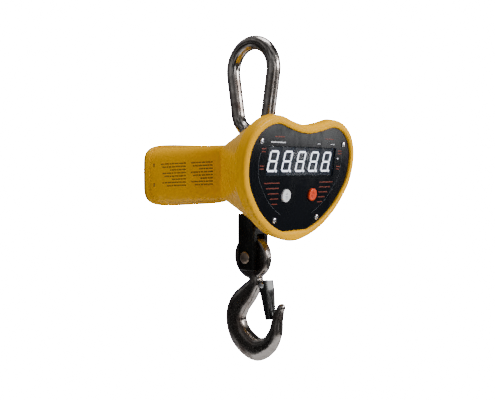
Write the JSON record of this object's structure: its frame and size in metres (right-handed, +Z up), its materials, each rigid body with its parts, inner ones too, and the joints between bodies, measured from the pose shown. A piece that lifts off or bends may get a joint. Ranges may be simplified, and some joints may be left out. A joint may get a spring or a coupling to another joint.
{
  "type": "crane scale",
  "caption": "Hanging electronic crane scale: lifting ring, heart-fronted yellow housing with lit display, black fork and swinging safety-latch hook.",
  "frame": {"origin": "inner crown of the lifting ring, where a crane hook carries the scale", "axes": "+Z up along the load line, the display faces -Y, +X to the right as seen from the display side"},
  "size_m": [0.25, 0.2534, 0.4945],
  "materials": {
    "yellow_housing": "glossy baked enamel, golden yellow",
    "plated_steel": "polished nickel-plated forging",
    "zinc_steel": "zinc-plated steel",
    "bronzed_pin": "heat-browned steel",
    "black_enamel": "gloss black enamel",
    "panel_black": "satin black printed film",
    "tinted_window": "smoked window",
    "digit_module": "dark display block with bright segments",
    "white_button": "satin white button",
    "orange_button": "satin orange button",
    "seal_rubber": "moulded rubber",
    "cell_aluminium": "machined",
    "circuit_board": "green solder mask",
    "switch_plastic": "moulded nylon",
    "battery_case": "moulded case"
  },
  "bodies": {
    "scale": {"battery": "battery_case", "battery_tray": "zinc_steel", "board_post_1": "zinc_steel", "board_post_2": "zinc_steel", "board_post_3": "zinc_steel", "board_post_4": "zinc_steel", "bracket_screw_1": "zinc_steel", "bracket_screw_2": "zinc_steel", "cell_bracket": "zinc_steel", "charge_socket": "switch_plastic", "digit_1": "digit_module", "digit_2": "digit_module", "digit_3": "digit_module", "digit_4": "digit_module", "digit_5": "digit_module", "display_board": "circuit_board", "display_lens": "tinted_window", "fork_sleeve": "seal_rubber", "front_panel": "panel_black", "front_shell": "yellow_housing", "hold_switch": "switch_plastic", "hook_fork": "black_enamel", "hook_pin": "bronzed_pin", "lifting_ring": "plated_steel", "load_cell": "cell_aluminium", "load_cell_cable": "seal_rubber", "lock_nut": "zinc_steel", "lower_stud": "zinc_steel", "main_board": "circuit_board", "panel_gasket": "seal_rubber", "panel_screw_1": "plated_steel", "panel_screw_2": "plated_steel", "panel_screw_3": "plated_steel", "panel_screw_4": "plated_steel", "pin_nut": "zinc_steel", "rear_cover": "yellow_housing", "rear_gasket": "seal_rubber", "rear_screw_1": "zinc_steel", "rear_screw_2": "zinc_steel", "rear_screw_3": "zinc_steel", "rear_screw_4": "zinc_steel", "rear_shell": "yellow_housing", "ring_sleeve": "seal_rubber", "shell_bolt_1": "zinc_steel", "shell_bolt_2": "zinc_steel", "shell_bolt_3": "zinc_steel", "shell_bolt_4": "zinc_steel", "socket_contact": "zinc_steel", "switch_frame": "switch_plastic", "tare_switch": "switch_plastic", "upper_stud": "zinc_steel", "waist_gasket": "seal_rubber"},
    "hook_body": {"hook": "plated_steel", "latch_rivet": "zinc_steel"},
    "latch_body": {"latch": "black_enamel", "latch_spring": "zinc_steel"},
    "hold_button": {"hold_button": "white_button"},
    "tare_button": {"tare_button": "orange_button"},
    "power_rocker": {"power_rocker": "switch_plastic"}
  },
  "joints": [
    {"name": "hook_swing", "type": "hinge", "parent": "scale", "child": "hook_body", "pos_m": [0, 0, -0.313], "axis": [1, 0, 0], "range_deg": [-60, 60]},
    {"name": "latch_swing", "type": "hinge", "parent": "hook_body", "child": "latch_body", "pos_m": [0, -0.026, -0.353], "axis": [1, 0, 0], "range_deg": [0, 34], "stiffness_Nm_per_rad": 0.06, "springref_deg": -20.05},
    {"name": "hold_press", "type": "slide", "parent": "scale", "child": "hold_button", "axis": [0, 0.9882, 0.153], "range_m": [0, 0.001], "stiffness_N_per_m": 600},
    {"name": "tare_press", "type": "slide", "parent": "scale", "child": "tare_button", "axis": [0, 0.9882, 0.153], "range_m": [0, 0.001], "stiffness_N_per_m": 600},
    {"name": "power_switch", "type": "hinge", "parent": "scale", "child": "power_rocker", "pos_m": [0.072, 0.1407, -0.1895], "axis": [1, 0, 0], "range_deg": [0, 16]}
  ]
}
